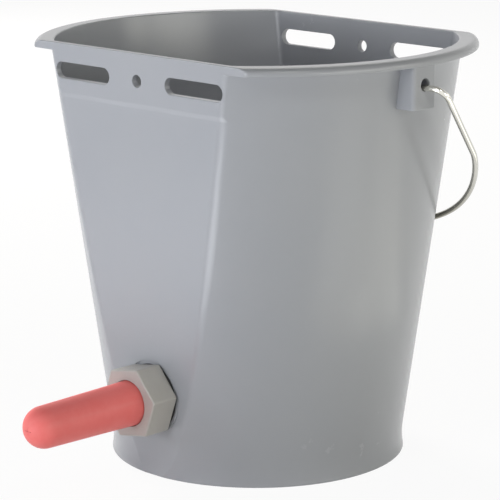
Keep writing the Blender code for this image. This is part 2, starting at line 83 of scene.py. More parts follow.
# Hanging band, which grows out of the wall over a short step outside and a longer one inside
BAND_LOW = 233.5
BAND_STEP = 4.0
BAND_PROUD = 0.55
BAND_INWARD = 1.3
BAND_INWARD_STEP = 10.0
BAND_CORNER = 8.0
BAND_INNER_CORNER = 8.0
SLOT_HALF_LENGTH = 24.3
SLOT_HALF_HEIGHT = 5.15
SLOT_CENTRE = 48.7
SLOT_Z = 251.0
HOLE_RADIUS = 3.85
MOULDED_EDGE = 0.55
EASE_TURN = math.radians(80)

# Ears
EAR_FACE = 139.3
EAR_HALF_WIDTH = 10.3
EAR_LOW = 236.8
EAR_WALL = 3.0
EAR_CORNER = 2.4
EAR_LOW_EDGE = 0.6
EAR_HOLE_Z = 251.7
EAR_HOLE_EDGE = 0.4
EAR_ROOF = 1.5
EAR_ROOF_INSET = 1.0

# Valve stack, as distances out from the bucket's axis
VALVE_Z = 51.3
BOSS_BACK = 89.512
BOSS_FACE = 94.512
BOSS_RADIUS = 23.0
BOSS_EDGE = 0.6
BORE_RADIUS = 16.8
BORE_START = 70.0
BORE_END = 130.0
SPOT_FACE_MARGIN = 0.3
SPOT_FACE_END = 120.0
SEAL_BACK = 94.522
SEAL_FACE = 95.65
SEAL_RADIUS = 21.0
SEAL_EDGE = 0.2
NUT_BACK = 95.7
NUT_FACE = 115.512
NUT_ACROSS_FLATS = 41.6
NUT_TURN = math.radians(10)
NUT_LIP = 3.2
NUT_EDGE = 1.1
NUT_BORE_EASE = 0.6
NUT_MOUTH_GAP = 0.3
NUT_MOUTH_EASE = 0.5
TEAT_NECK = 14.2
TEAT_TIP_RADIUS = 13.0
TEAT_TIP = 196.712
TEAT_WALL = 4.6
TEAT_ROOT_STEP = 0.1
TEAT_SLIT_LENGTH = 6.0
TEAT_SLIT_WIDTH = 0.3
TEAT_SLIT_DEPTH = 7.0
TEAT_FLANGE_BACK = 109.012
TEAT_FLANGE_FACE = 112.012
TEAT_FLANGE_RADIUS = 16.5
TEAT_FLANGE_EASE = 0.4

# Bail, in its own plane as (out, along) from the hinge
HINGE_Z = 249.95
WIRE_RADIUS = 1.9
BAIL_LEAN = math.radians(42.8564)
HOOK_END = 5.2
HOOK_RADIUS = 2.6
BAIL_HALF_WIDTH = 152.7
BAIL_BEND = 7.0
BAIL_SHOULDER = Vector((143.2, 60.6))
BAIL_SHOULDER_PULL = 13.0
BAIL_CROWN = Vector((0, 156.6))
BAIL_CROWN_PULL = Vector((99.1, 156.6))

# How finely the shapes are stepped
SIDE_STEPS = 30
CORNER_STEPS = 16
FLAT_STEPS = 10
FOOT_LEVELS = (2, 3.5, 5, 6.5, 8, 10, 12, 14.5, FOOT_HEIGHT)
WALL_STEPS = 18
BAND_STEPS = 8
BAND_LEVELS = (240, 245, 250, 255, 259)
BAND_INWARD_STEPS = 12
BAND_INSIDE_LEVELS = (262, 255, 250, 245, 240)
EAR_LEVEL_RISE = 6
EAR_LEVELS = 5
EAR_EDGE_STEPS = 3
EASE_STEPS = 4
SLOT_END_STEPS = 12
HOLE_STEPS = 32
TURNED_STEPS = 96
NUT_EDGE_STEPS = 5
TEAT_STEPS = 12
WIRE_RINGS = 6
BEND_STEPS = 12
LEG_STEPS = 8
CROWN_STEPS = 48

# Mesh finishing: merge distances in millimetres and, once carved, in metres; the most sides of a gap that is
# closed; edges that stay sharp, in degrees; the pull of large faces; and how far a cutter passes what it cuts
MERGE = 1e-4
CARVED_MERGE = 1e-7
GAP_SIDES = 6
SHARP_ANGLE = 40
NUT_SHARP_ANGLE = 35
LARGE_FACE_PULL = 80
CUT_OVER = 4.0
NUT_CUT_OVER = 3.0

# Colours, as linear red, green, blue and alpha
SHELL_GREY = (0.402, 0.418, 0.455, 1)
SHELL_GREY_CLOUD = (0.414, 0.428, 0.462, 1)
SHELL_SCUFF = (0.47, 0.48, 0.50, 1)
FITTING_GREY = (0.485, 0.47, 0.448, 1)
FITTING_GREY_CLOUD = (0.52, 0.505, 0.483, 1)
TEAT_RED = (0.95, 0.195, 0.186, 1)
TEAT_BLOOM = (0.97, 0.23, 0.22, 1)
TEAT_STREAK = (0.94, 0.28, 0.265, 1)
SEAL_BLACK = (0.012, 0.012, 0.012, 1)
SEAL_DUST = (0.03, 0.03, 0.03, 1)
BALL_WHITE = (0.80, 0.80, 0.77, 1)
BALL_WHITE_CLOUD = (0.86, 0.86, 0.83, 1)
WIRE_BRIGHT = (0.82, 0.81, 0.75, 1)
WIRE_DULL = (0.68, 0.66, 0.59, 1)
# Wire colours painted by height: a dimmer one as painted darker reflection below the ears, a dark brown one as
# painted shade at the grip
WIRE_PAINTED_DIM = (0.62, 0.61, 0.56, 1)
WIRE_PAINTED_SHADE = (0.25, 0.24, 0.19, 1)
FLOOR_GREY = (0.68, 0.68, 0.68, 1)
FLOOR_PALE = (0.95, 0.95, 0.95, 1)
WHITE = (1, 1, 1, 1)

# Camera, fitted to the photograph: degrees, metres, and pixels of its square picture
VIEW_TURN = 44.06
VIEW_RISE = 12.723
VIEW_ROLL = -0.175
VIEW_HEIGHT = 0.1346
VIEW_DISTANCE = 1.54556
PICTURE = 500
FOCAL_LENGTH = 2400.4
SHIFT_ACROSS = -7.337
SHIFT_UP = -8.129
SENSOR = 36
SIGHT_END = 20

# Lamps: name, turn and rise in degrees, width and height in metres, watts, colour, and whether gloss shows it
COOL = (0.935, 0.96, 1.0)
PLAIN = (1, 1, 1)
WARM = (1.0, 0.985, 0.89)
AMBER = (1.0, 0.95, 0.89)
LAMP_AIM = Vector((0, 0, 0.13))
LAMP_DISTANCE = 2.2
SOFTBOXES = (
    ("left_lamp", -135, 8, (0.6, 0.5), 6.4, COOL, True),
    ("front_left_lamp", -105, 8, (0.6, 0.5), 2.8, COOL, True),
    ("front_lamp", -88, 6, (0.6, 0.5), 9.0, COOL, True),
    ("front_high_lamp", -80, 38, (0.8, 0.8), 5.2, PLAIN, True),
    ("right_high_lamp", -28, 50, (0.5, 0.5), 4.2, WARM, True),
    ("right_lamp", 2, 8, (1.4, 0.5), 10.6, WARM, True),
    ("right_back_lamp", 32, 14, (0.6, 0.6), 4.5, WARM, True),
    ("back_lamp", 163, 20, (0.9, 0.9), 44, AMBER, False),
    ("high_lamp", 134, 42, (0.9, 0.9), 3, AMBER, True),
)

# Bright cards lying on the table beside the view: name, turn, place, width and depth, watts, colour
CARD_HEIGHT = 0.01
TABLE_CARDS = (
    ("card_front", -100, (0.0, -0.50), (0.36, 0.20), 1.0, COOL),
    ("card_left", -134, (-0.32, -0.44), (0.36, 0.30), 0.28, COOL),
    ("card_right", 6, (0.44, 0.04), (0.36, 0.20), 0.23, WARM),
    ("card_back", 32, (0.38, 0.24), (0.36, 0.22), 0.28, WARM),
)
FLOOR_HALF = 6000
FLOOR_GLOW = 0.93


# Shader helpers

# Places of the colour sockets among all those of a Mix node
MIX_FIRST = 6
MIX_SECOND = 7
MIX_RESULT = 2


class Value:
    """A shader socket that takes part in arithmetic."""

    def __init__(self, nodes, socket):
        self.nodes = nodes
        self.socket = socket

    def maths(self, operation, first, second):
        made = self.nodes.node("ShaderNodeMath", {"operation": operation}, {0: first, 1: second})
        return Value(self.nodes, made.outputs[0])

    def __add__(self, other):
        return self.maths("ADD", self, other)

    def __radd__(self, other):
        return self.maths("ADD", other, self)

    def __sub__(self, other):
        return self.maths("SUBTRACT", self, other)

    def __rsub__(self, other):
        return self.maths("SUBTRACT", other, self)

    def __mul__(self, other):
        return self.maths("MULTIPLY", self, other)

    def __rmul__(self, other):
        return self.maths("MULTIPLY", other, self)


class Nodes:
    """A node tree and the ways to fill it."""

    def __init__(self, tree):
        self.tree = tree

    def node(self, kind, settings, inputs):
        """New node of a kind, with its settings made first and then its sockets' values or links."""
        made = self.tree.nodes.new(kind)
        for key, value in settings.items():
            setattr(made, key, value)
        for key, value in inputs.items():
            self.feed(made.inputs[key], value)
        return made

    def feed(self, socket, value):
        if isinstance(value, Value):
            self.tree.links.new(value.socket, socket)
        elif isinstance(value, bpy.types.NodeSocket):
            self.tree.links.new(value, socket)
        else:
            socket.default_value = value

    def between(self, value, low, high, start=0.0, end=1.0):
        """Value carried from low..high to start..end, and held there beyond."""
        inputs = {"Value": value, "From Min": low, "From Max": high, "To Min": start, "To Max": end}
        return Value(self, self.node("ShaderNodeMapRange", {}, inputs).outputs["Result"])

    def height_of(self, place):
        return Value(self, self.node("ShaderNodeSeparateXYZ", {}, {"Vector": place}).outputs["Z"])

    def seen_ray(self):
        """1 for what the camera sees directly, in a gloss or through glass."""
        path = self.node("ShaderNodeLightPath", {}, {})
        direct, gloss, glass = (
            Value(self, path.outputs[name]) for name in ("Is Camera Ray", "Is Glossy Ray", "Is Transmission Ray")
        )
        return self.between(direct + gloss + glass, 0.0, 1.0)

    def show(self, seen, lit, bright, output):
        """Sends the lit shader to an output, with the bright one in its place as far as seen says."""
        made = self.node("ShaderNodeMixShader", {}, {0: seen, 1: lit.outputs[0], 2: bright.outputs[0]})
        self.feed(self.tree.nodes[output].inputs["Surface"], made.outputs[0])


class Finish(Nodes):
    """A material and the nodes that make its look."""

    def __init__(self, name):
        self.material = bpy.data.materials.new(name)
        self.material.use_nodes = True
        super().__init__(self.material.node_tree)
        self.shader = self.tree.nodes["Principled BSDF"]

    def set(self, **inputs):
        for key, value in inputs.items():
            self.feed(self.shader.inputs[key.replace("_", " ")], value)

    def place(self):
        return self.node("ShaderNodeTexCoord", {}, {}).outputs["Object"]

    def stretched(self, scale):
        """Object coordinates times a scale on each axis, so a pattern is drawn out where it is low."""
        return self.node("ShaderNodeMapping", {}, {"Vector": self.place(), "Scale": scale}).outputs["Vector"]

    def noise(self, size, detail=3.0, rough=0.5, where=None):
        """Cloudy pattern whose features are about size metres across."""
        inputs = {"Vector": where or self.place(), "Scale": 1.0 / size, "Detail": detail, "Roughness": rough}
        return Value(self, self.node("ShaderNodeTexNoise", {}, inputs).outputs["Fac"])

    def mixed(self, factor, first, second):
        made = self.node("ShaderNodeMix", {"data_type": "RGBA", "blend_type": "MIX"}, {})
        self.feed(made.inputs["Factor"], factor)
        self.feed(made.inputs[MIX_FIRST], first)
        self.feed(made.inputs[MIX_SECOND], second)
        return made.outputs[MIX_RESULT]

    def bump(self, height, depth, strength):
        """Relief whose height of one is depth metres."""
        inputs = {"Height": height, "Distance": depth, "Strength": strength}
        return self.node("ShaderNodeBump", {}, inputs).outputs["Normal"]


# Finishes


def moulded_grey():
    """Grey moulded bucket plastic with faint clouding, a fine grain and light scuffs."""
    made = Finish("moulded_grey")
    cloud = made.noise(0.06, detail=4.0)
    grain = made.noise(0.0009, detail=2.0)
    scuff = made.between(made.noise(0.012, detail=5.0, rough=0.7), 0.58, 0.75)
    base = made.mixed(made.between(cloud, 0.35, 0.65), SHELL_GREY, SHELL_GREY_CLOUD)
    made.set(
        Base_Color=made.mixed(scuff * 0.05, base, SHELL_SCUFF),
        Roughness=made.between(cloud, 0.3, 0.7, 0.23, 0.27) + scuff * 0.02,
        Normal=made.bump(grain, 0.00002, 0.35),
    )
    return made.material


def fitting_grey():
    """Warm grey moulded plastic of the nut and valve."""
    made = Finish("fitting_grey")
    cloud = made.noise(0.02, detail=4.0)
    grain = made.noise(0.0008, detail=2.0)
    made.set(
        Base_Color=made.mixed(made.between(cloud, 0.35, 0.65), FITTING_GREY, FITTING_GREY_CLOUD),
        Roughness=made.between(cloud, 0.3, 0.7, 0.42, 0.50),
        Normal=made.bump(grain, 0.00002, 0.4),
    )
    return made.material


def teat_rubber():
    """Red rubber with a soft bloom and a faint pull along its length."""
    made = Finish("teat_rubber")
    bloom = made.noise(0.012, detail=4.0, rough=0.6)
    streak = made.noise(0.02, where=made.stretched((3.0, 0.25, 3.0)))
    base = made.mixed(made.between(bloom, 0.35, 0.7), TEAT_RED, TEAT_BLOOM)
    made.set(
        Base_Color=made.mixed(made.between(streak, 0.5, 0.75) * 0.3, base, TEAT_STREAK),
        Specular_IOR_Level=0.3,
        Roughness=made.between(bloom, 0.3, 0.7, 0.44, 0.54),
        Normal=made.bump(made.noise(0.0012), 0.00003, 0.35),
    )
    return made.material


def seal_rubber():
    """Black rubber with a little dust."""
    made = Finish("seal_rubber")
    made.set(
        Base_Color=made.mixed(made.noise(0.004), SEAL_BLACK, SEAL_DUST),
        Roughness=made.between(made.noise(0.003), 0.3, 0.7, 0.55, 0.7),
    )
    return made.material


def ball_plastic():
    """White smooth plastic of the valve's ball."""
    made = Finish("ball_plastic")
    made.set(
        Base_Color=made.mixed(made.noise(0.006), BALL_WHITE, BALL_WHITE_CLOUD),
        Roughness=made.between(made.noise(0.004), 0.3, 0.7, 0.22, 0.32),
    )
    return made.material


def drawn_wire():
    """Plated wire with fine drawing marks and dull patches; lower down its colour is dimmed by height as a
    painted darker reflection, and at the grip it goes dark brown as painted shade.
    """
    made = Finish("drawn_wire")
    dull = made.between(made.noise(0.009), 0.45, 0.7)
    height = made.height_of(made.place())
    plated = made.mixed(dull, WIRE_BRIGHT, WIRE_DULL)
    # Painted darker reflection: the plated colour dims by height below the ears
    painted_dim = made.mixed(1 - made.between(height, 0.225, 0.245), plated, WIRE_PAINTED_DIM)
    made.set(
        Metallic=1.0,
        # Painted shade: the lower wire goes dark brown by height towards the grip
        Base_Color=made.mixed(1 - made.between(height, 0.145, 0.19), painted_dim, WIRE_PAINTED_SHADE),
        Roughness=made.between(made.noise(0.004, detail=2.0), 0.3, 0.7, 0.13, 0.20) + dull * 0.05,
        Normal=made.bump(made.noise(0.0008, detail=2.0), 0.000004, 0.3),
    )
    return made.material


# Shell outlines


def flare(z):
    return FOOT_FLARE * max(1 - z / FOOT_HEIGHT, 0) ** 2


def side_radius(z):
    return BASE_RADIUS + (RIM_RADIUS - BASE_RADIUS) * z / HEIGHT + flare(z)


def flat_distance(z):
    return BASE_FLAT + (RIM_FLAT - BASE_FLAT) * z / HEIGHT + flare(z)


def smooth(share):
    """Share that starts and ends gently."""
    return share * share * (3 - 2 * share)


def quarter_turn(steps):
    """Angles from nothing to a right angle."""
    return [math.pi / 2 * step / steps for step in range(steps + 1)]


def tangent_bend(radius, flat, corner):
    """Rounded corner that runs smoothly from the curved side onto the flat."""
    inset = flat - corner
    along = math.sqrt((radius - corner) ** 2 - inset**2)
    turn = math.atan2(inset, along)
    angles = [turn + (math.pi / 2 - turn) * step / CORNER_STEPS for step in range(CORNER_STEPS + 1)]
    return [Vector((along + corner * math.cos(a), inset + corner * math.sin(a))) for a in angles]


def closed(radius, bend):
    """Closed outline whose four corners are a bend, with the curved sides and the flats between them."""
    turn = math.atan2(bend[0].y, bend[0].x)
    angles = [turn * step / SIDE_STEPS for step in range(SIDE_STEPS)]
    quarter = [Vector((radius * math.cos(a), radius * math.sin(a))) for a in angles] + bend
    quarter += [Vector((bend[-1].x * (1 - step / FLAT_STEPS), bend[-1].y)) for step in range(1, FLAT_STEPS + 1)]
    half = quarter + [Vector((-p.x, p.y)) for p in reversed(quarter[:-1])]
    return half + [Vector((p.x, -p.y)) for p in reversed(half[1:-1])]


def partway(first, second, share):
    """Outline between two others."""
    return [a.lerp(b, share) for a, b in zip(first, second)]


def plain(z, inset=0.0):
    """Outline of the wall below the bands, drawn in by inset."""
    radius = side_radius(z) - inset
    flat = min(flat_distance(z) - inset, radius - LEAST_BULGE)
    return closed(radius, tangent_bend(radius, flat, max(CORNER_RADIUS - inset, LEAST_CORNER)))


def banded(z):
    """Outline of the wall with the bands."""
    return closed(side_radius(z), tangent_bend(side_radius(z), flat_distance(z) + BAND_PROUD, BAND_CORNER))


def lipped(z, inset=0.0):
    """Outline of the lip, whose upper edge is also eased where it ends flush with the bands."""
    rise = max(z - (HEIGHT - RIM_EDGE), 0.0)
    face = flat_distance(z) + BAND_PROUD - RIM_EDGE + math.sqrt(max(RIM_EDGE**2 - rise**2, 0.0))
    return closed(LIP_RADIUS - inset, tangent_bend(LIP_RADIUS - inset, face, LIP_CORNER))


def inside(z, out=0.0):
    """Inside of the wall behind the bands, drawn out by out where the rim is rounded."""
    radius = side_radius(z) - WALL + out
    flat = flat_distance(z) - WALL - BAND_INWARD + out
    return closed(radius, tangent_bend(radius, flat, BAND_INNER_CORNER))


def disc(like, radius):
    """Round outline with its points in the same directions as those of another outline."""
    return [p.normalized() * radius for p in like]


# Mesh helpers


def skin(levels):
    """Closed skin through (height, outline) levels, each one extruded from the last."""
    bm = bmesh.new()
    z, first = levels[0]
    ring = [bm.verts.new((p.x, p.y, z)) for p in first]
    for a, b in zip(ring, ring[1:] + ring[:1]):
        bm.edges.new((a, b))
    bmesh.ops.contextual_create(bm, geom=bm.edges[:])
    for z, outline in levels[1:]:
        edges = [bm.edges.get((a, b)) for a, b in zip(ring, ring[1:] + ring[:1])]
        grown = bmesh.ops.extrude_edge_only(bm, edges=edges)["geom"]
        fresh = {v for v in grown if isinstance(v, bmesh.types.BMVert)}
        ring = [next(e.other_vert(v) for e in v.link_edges if e.other_vert(v) in fresh) for v in ring]
        for vert, p in zip(ring, outline):
            vert.co = (p.x, p.y, z)
    edges = [bm.edges.get((a, b)) for a, b in zip(ring, ring[1:] + ring[:1])]
    bmesh.ops.contextual_create(bm, geom=edges)
    return bm


def turned(profile):
    """Turned solid round Z, from a loop of (radius, height) points."""
    bm = bmesh.new()
    points = [bm.verts.new((radius, 0, height)) for radius, height in profile]
    edges = [bm.edges.new(pair) for pair in zip(points, points[1:] + points[:1])]
    bmesh.ops.spin(
        bm,
        geom=points + edges,
        cent=(0, 0, 0),
        axis=(0, 0, 1),
        angle=math.tau,
        steps=TURNED_STEPS,
        use_merge=True,
    )
    bmesh.ops.remove_doubles(bm, verts=bm.verts, dist=MERGE)
    loose = [edge for edge in bm.edges if not edge.link_faces]
    bmesh.ops.delete(bm, geom=loose, context="EDGES")
    return bm


def block(low, high):
    """Box between two corners."""
    bm = bmesh.new()
    bmesh.ops.create_cube(bm, size=1.0)
    bmesh.ops.scale(bm, verts=bm.verts, vec=high - low)
    bmesh.ops.translate(bm, verts=bm.verts, vec=(high + low) / 2)
    return bm


def ease(bm, edges, offset, segments):
    """Rounds edges."""
    bmesh.ops.bevel(
        bm, geom=edges, offset=offset, segments=segments, profile=0.5, affect="EDGES", material=-1
    )


def eased_cutter(outline, back, face, edge=MOULDED_EDGE):
    """Cutter along Z through outline(grow) levels, whose mouths flare out to leave a rounded edge."""
    eases = [EASE_TURN * step / EASE_STEPS for step in range(EASE_STEPS + 1)]
    levels = [(back - CUT_OVER, outline(edge))]
    for angle in reversed(eases):
        levels.append((back + edge * (1 - math.sin(angle)), outline(edge * (1 - math.cos(angle)))))
    for angle in eases:
        levels.append((face - edge * (1 - math.sin(angle)), outline(edge * (1 - math.cos(angle)))))
    levels.append((face + CUT_OVER, outline(edge)))
    return skin(levels)


def slot_outline(grow):
    """Long slot with round ends, grown all round."""
    radius = SLOT_HALF_HEIGHT + grow
    reach = SLOT_HALF_LENGTH - SLOT_HALF_HEIGHT
    points = []
    for side, start in ((1, -math.pi / 2), (-1, math.pi / 2)):
        for step in range(SLOT_END_STEPS + 1):
            angle = start + math.pi * step / SLOT_END_STEPS
            points.append(Vector((side * reach + radius * math.cos(angle), radius * math.sin(angle))))
    return points


def hole_outline(grow):
    """Round hole, grown all round."""
    turns = [math.tau * step / HOLE_STEPS for step in range(HOLE_STEPS)]
    return [Vector((math.cos(turn), math.sin(turn))) * (HOLE_RADIUS + grow) for turn in turns]


def mirrored(bm, side, axis):
    """Turns a mesh over to the other side of the bucket where side is -1."""
    if side < 0:
        bmesh.ops.transform(bm, matrix=Matrix.Scale(-1, 4, axis), verts=bm.verts)
    return bm


def on_valve_axis(bm):
    """Lays a mesh made along Z onto the valve's axis, with its Z pointing out of the front."""
    lay = Matrix.Translation((0, 0, VALVE_Z)) @ Matrix.Rotation(math.pi / 2, 4, "X")
    bmesh.ops.transform(bm, matrix=lay, verts=bm.verts)
    return bm


def on_flat(bm, side):
    """Lays a cutter made along Z onto a band: its Z points out of the leaning flat and its Y runs up it."""
    lean = math.atan2(RIM_FLAT - BASE_FLAT, HEIGHT)
    across = Vector((1, 0, 0))
    rise = Vector((0, math.sin(lean), math.cos(lean)))
    out = Vector((0, math.cos(lean), -math.sin(lean)))
    lay = Matrix((across, rise, out)).transposed().to_4x4()
    lay.translation = Vector((0, flat_distance(SLOT_Z), SLOT_Z))
    bmesh.ops.transform(bm, matrix=lay, verts=bm.verts)
    return mirrored(bm, side, (0, 1, 0))


def shade(mesh, sharp_angle):
    mesh.shade_smooth()
    mesh.set_sharp_from_angle(angle=math.radians(sharp_angle))


def piece(name, bm, finish=None):
    """Turns a bmesh in millimetres into an object whose place is in its mesh."""
    bmesh.ops.remove_doubles(bm, verts=bm.verts, dist=MERGE)
    bmesh.ops.dissolve_degenerate(bm, edges=bm.edges, dist=MERGE)
    bmesh.ops.recalc_face_normals(bm, faces=bm.faces)
    bmesh.ops.scale(bm, verts=bm.verts, vec=(MM, MM, MM))
    mesh = bpy.data.meshes.new(name)
    bm.to_mesh(mesh)
    bm.free()
    if finish:
        mesh.materials.append(finish)
    shade(mesh, SHARP_ANGLE)
    made = bpy.data.objects.new(name, mesh)
    bpy.context.scene.collection.objects.link(made)
    return made


def carve(target, tools, sharp_angle=SHARP_ANGLE):
    """Cuts or joins tools, given as (operation, bmesh) pairs, and keeps the finished mesh."""
    helpers = []
    for operation, bm in tools:
        helper = piece(f"{target.name}_tool_{len(helpers)}", bm)
        helper.hide_render = True
        helpers.append(helper)
        change = target.modifiers.new(helper.name, "BOOLEAN")
        change.operation = operation
        change.solver = "EXACT"
        change.object = helper
    bpy.context.view_layer.update()
    finished = bpy.data.meshes.new_from_object(target.evaluated_get(bpy.context.evaluated_depsgraph_get()))
    target.modifiers.clear()
    target.data = finished
    for helper in helpers:
        bpy.data.objects.remove(helper)
    bm = bmesh.new()
    bm.from_mesh(finished)
    bmesh.ops.remove_doubles(bm, verts=bm.verts, dist=CARVED_MERGE)
    bmesh.ops.dissolve_degenerate(bm, edges=bm.edges, dist=CARVED_MERGE)
    bmesh.ops.holes_fill(bm, edges=[edge for edge in bm.edges if edge.is_boundary], sides=GAP_SIDES)
    bmesh.ops.recalc_face_normals(bm, faces=bm.faces)
    bm.to_mesh(finished)
    bm.free()
    shade(finished, sharp_angle)


def even_shading(target):
    """Lets the large faces lead the shading of the edges next to them."""
    change = target.modifiers.new("even shading", "WEIGHTED_NORMAL")
    change.keep_sharp = True
    change.weight = LARGE_FACE_PULL


# Bucket


def foot_levels():
    """From the middle of the underside out to the wall."""
    rings = (
        (FLOOR_RECESS, CENTRE_RING),
        (FLOOR_RECESS, RECESS_RADIUS - RECESS_EASE),
        (FLOOR_RECESS - RECESS_EASE / 3, RECESS_RADIUS - RECESS_EASE / 6),
        (FLOOR_RECESS - RECESS_EASE, RECESS_RADIUS),
        (FOOT_BREAK, RECESS_RADIUS),
        (0.0, RECESS_RADIUS + FOOT_BREAK),
    )
    levels = [(z, disc(plain(0), radius)) for z, radius in rings]
    for angle in quarter_turn(5):
        z = FOOT_EDGE * (1 - math.cos(angle))
        levels.append((z, plain(z, FOOT_EDGE * (1 - math.sin(angle)))))
    return levels


def wall_levels():
    """Up the outside of the wall to the underside of the lip."""
    rise = (BAND_LOW - FOOT_HEIGHT) / WALL_STEPS
    heights = [*FOOT_LEVELS, *(FOOT_HEIGHT + rise * step for step in range(1, WALL_STEPS + 1))]
    levels = [(z, plain(z)) for z in heights]
    for step in range(1, BAND_STEPS + 1):
        share = step / BAND_STEPS
        z = BAND_LOW + BAND_STEP * share
        levels.append((z, partway(plain(z), banded(z), smooth(share))))
    top = HEIGHT - LIP_THICKNESS - LIP_FILLET
    return levels + [(z, banded(z)) for z in (*BAND_LEVELS, top)]


def lip_levels():
    """Out along the underside of the lip, round its edge and back to the rim."""
    under = HEIGHT - LIP_THICKNESS
    reach = LIP_RADIUS - side_radius(under)
    levels = []
    for angle in quarter_turn(4)[1:]:
        z = under - LIP_FILLET * (1 - math.sin(angle))
        levels.append((z, partway(banded(z), lipped(z), LIP_FILLET * (1 - math.cos(angle)) / reach)))
    for angle in quarter_turn(5)[1:]:
        z = under + LIP_FOOT * (1 - math.cos(angle))
        levels.append((z, lipped(z, LIP_FOOT * (1 - math.sin(angle)))))
    for angle in quarter_turn(14):
        z = HEIGHT - LIP_ROLL_DROP * (1 - math.sin(angle))
        levels.append((z, lipped(z, LIP_ROLL_REACH * (1 - math.cos(angle)))))
    crest = levels[-1][1]
    return levels + [(HEIGHT, partway(crest, inside(HEIGHT, RIM_ROUND), share)) for share in (0.33, 0.67)]


def cavity_levels():
    """Over the rim, down the inside and along the floor to its middle."""
    levels = []
    for angle in quarter_turn(6):
        z = HEIGHT - RIM_ROUND * (1 - math.cos(angle))
        levels.append((z, inside(z, RIM_ROUND * (1 - math.sin(angle)))))
    levels += [(z, inside(z)) for z in BAND_INSIDE_LEVELS]
    for step in range(BAND_INWARD_STEPS, -1, -1):
        share = step / BAND_INWARD_STEPS
        z = BAND_LOW - BAND_INWARD_STEP * (1 - share)
        levels.append((z, partway(plain(z, WALL), inside(z), smooth(share))))
    high = BAND_LOW - BAND_INWARD_STEP
    low = FLOOR_TOP + FLOOR_FILLET
    heights = [high - (high - low) / WALL_STEPS * step for step in range(1, WALL_STEPS)]
    levels += [(z, plain(z, WALL)) for z in heights]
    for angle in quarter_turn(8):
        z = low - FLOOR_FILLET * math.sin(angle)
        levels.append((z, plain(z, WALL + FLOOR_FILLET * (1 - math.cos(angle)))))
    floor_edge = levels[-1][1]
    return levels + [(FLOOR_TOP, disc(floor_edge, radius)) for radius in (FLOOR_RING, CENTRE_RING)]


def ear(side):
    """Hollow ear: a front plate and two cheeks, open below, that grow out of the wall under the lip."""
    outer = EAR_HALF_WIDTH
    inner = EAR_HALF_WIDTH - EAR_WALL
    back = EAR_FACE - EAR_WALL
    heights = [EAR_LOW + EAR_LEVEL_RISE * step for step in range(EAR_LEVELS)] + [HEIGHT - LIP_THICKNESS / 2]
    levels = []
    for z in heights:
        root = side_radius(z) - WALL / 2
        points = [Vector((root, -outer))]
        for angle in quarter_turn(6):
            in_x, in_y = EAR_CORNER * (1 - math.sin(angle)), EAR_CORNER * (1 - math.cos(angle))
            points.append(Vector((EAR_FACE - in_x, -outer + in_y)))
        points += [Vector((p.x, -p.y)) for p in reversed(points)]
        points += [Vector(p) for p in ((root, inner), (back, inner), (back, -inner), (root, -inner))]
        levels.append((z, points))
    bm = skin(levels)
    rim = [edge for edge in bm.edges if max(v.co.z for v in edge.verts) < EAR_LOW + MERGE]
    bm.normal_update()
    bmesh.ops.recalc_face_normals(bm, faces=bm.faces)
    ease(bm, rim, EAR_LOW_EDGE, EAR_EDGE_STEPS)
    return mirrored(bm, side, (1, 0, 0))


def ear_roof(side):
    """Web that closes the ear's hollow under the lip."""
    half_width = EAR_HALF_WIDTH - EAR_ROOF_INSET
    low = Vector((side_radius(HEIGHT) - WALL / 2, -half_width, HEIGHT - LIP_THICKNESS - EAR_ROOF))
    high = Vector((EAR_FACE - EAR_ROOF_INSET, half_width, HEIGHT - EAR_ROOF_INSET))
    return mirrored(block(low, high), side, (1, 0, 0))


def ear_hole(side):
    bm = eased_cutter(hole_outline, EAR_FACE - EAR_WALL, EAR_FACE, EAR_HOLE_EDGE)
    turn = Matrix.Translation((0, 0, EAR_HOLE_Z)) @ Matrix.Rotation(math.pi / 2, 4, "Y")
    bmesh.ops.transform(bm, matrix=turn, verts=bm.verts)
    return mirrored(bm, side, (1, 0, 0))


def valve_seat():
    """Thickened seat with a flat face outside, and the bore for the valve."""
    boss = [
        (0, BOSS_BACK),
        (BOSS_RADIUS - BOSS_EDGE, BOSS_BACK),
        (BOSS_RADIUS, BOSS_BACK + BOSS_EDGE),
        (BOSS_RADIUS, BOSS_FACE),
        (0, BOSS_FACE),
    ]
    wide = BOSS_RADIUS + SPOT_FACE_MARGIN
    spot_face = [(0, BOSS_FACE), (wide, BOSS_FACE), (wide, SPOT_FACE_END), (0, SPOT_FACE_END)]
    bore = [(0, BORE_START), (BORE_RADIUS, BORE_START), (BORE_RADIUS, BORE_END), (0, BORE_END)]
    changes = (("UNION", boss), ("DIFFERENCE", spot_face), ("DIFFERENCE", bore))
    return [(operation, on_valve_axis(turned(profile))) for operation, profile in changes]


def band_openings(side):
    """Two slots and a hole through a band."""
    back = -WALL - BAND_INWARD
    tools = []
    for centre in (-SLOT_CENTRE, SLOT_CENTRE):
        cutter = eased_cutter(slot_outline, back, BAND_PROUD)
        bmesh.ops.translate(cutter, verts=cutter.verts, vec=(centre, 0, 0))
        tools.append(("DIFFERENCE", on_flat(cutter, side)))
    hole = eased_cutter(hole_outline, back, BAND_PROUD)
    return tools + [("DIFFERENCE", on_flat(hole, side))]


def moulding(finish):
    """The bucket itself, with its bands, lip, ears and the seat for the valve."""
    levels = foot_levels() + wall_levels() + lip_levels() + cavity_levels()
    body = piece("moulded_bucket", skin(levels), finish)
    tools = valve_seat() + band_openings(-1) + band_openings(1)
    for side in (-1, 1):
        tools += [("UNION", ear(side)), ("UNION", ear_roof(side)), ("DIFFERENCE", ear_hole(side))]
    carve(body, tools)
    even_shading(body)
    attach(body, "bucket")
    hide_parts("bucket_body")


# Teat and its fittings


